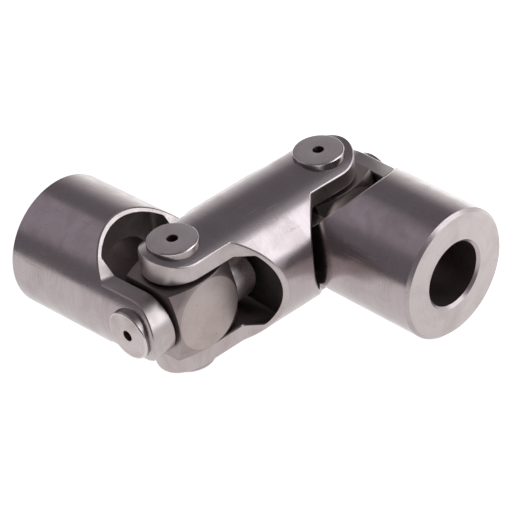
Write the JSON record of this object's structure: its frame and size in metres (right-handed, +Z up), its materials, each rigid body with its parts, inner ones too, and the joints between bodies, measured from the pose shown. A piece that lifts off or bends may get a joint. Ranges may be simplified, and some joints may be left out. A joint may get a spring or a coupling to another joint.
{
  "type": "universal joint shaft",
  "caption": "Short double universal joint in ground steel: bored hubs fold on cross pins at either end of a forked centre shaft.",
  "frame": {"origin": "middle of the centre shaft, halfway between the two joint centres, on the shaft's axis", "axes": "+X along the centre shaft towards the right joint, +Z up along the long pins, +Y towards the left hub"},
  "size_m": [0.0406, 0.041, 0.0168],
  "materials": {
    "ground_steel": "ground, with fine turning marks",
    "block_steel": "milled and turned",
    "pin_steel": "ground, with a faced end"
  },
  "bodies": {
    "centre_shaft": {"centre_shaft": "ground_steel"},
    "left_cross": {"left_block": "block_steel", "left_long_pin": "pin_steel", "left_short_pin_outer": "pin_steel", "left_short_pin_inner": "pin_steel", "left_lock_pin": "pin_steel"},
    "left_hub": {"left_hub": "ground_steel"},
    "right_cross": {"right_block": "block_steel", "right_long_pin": "pin_steel", "right_short_pin_outer": "pin_steel", "right_short_pin_inner": "pin_steel", "right_lock_pin": "pin_steel"},
    "right_hub": {"right_hub": "ground_steel"}
  },
  "joints": [
    {"name": "left_long_pin_hinge", "type": "hinge", "parent": "centre_shaft", "child": "left_cross", "pos_m": [-0.01099, 0, 0], "axis": [0, 0, 1], "range_deg": [0, 172]},
    {"name": "left_short_pin_hinge", "type": "hinge", "parent": "left_cross", "child": "left_hub", "pos_m": [-0.01099, 0, 0], "axis": [-0.9976, -0.0698, 0], "range_deg": [-5.7, 3.2]},
    {"name": "right_long_pin_hinge", "type": "hinge", "parent": "centre_shaft", "child": "right_cross", "pos_m": [0.01099, 0, 0], "axis": [0, 0, 1], "range_deg": [0, 172]},
    {"name": "right_short_pin_hinge", "type": "hinge", "parent": "right_cross", "child": "right_hub", "pos_m": [0.01099, 0, 0], "axis": [0.9976, 0.0698, 0], "range_deg": [-5.7, 3.2]}
  ]
}
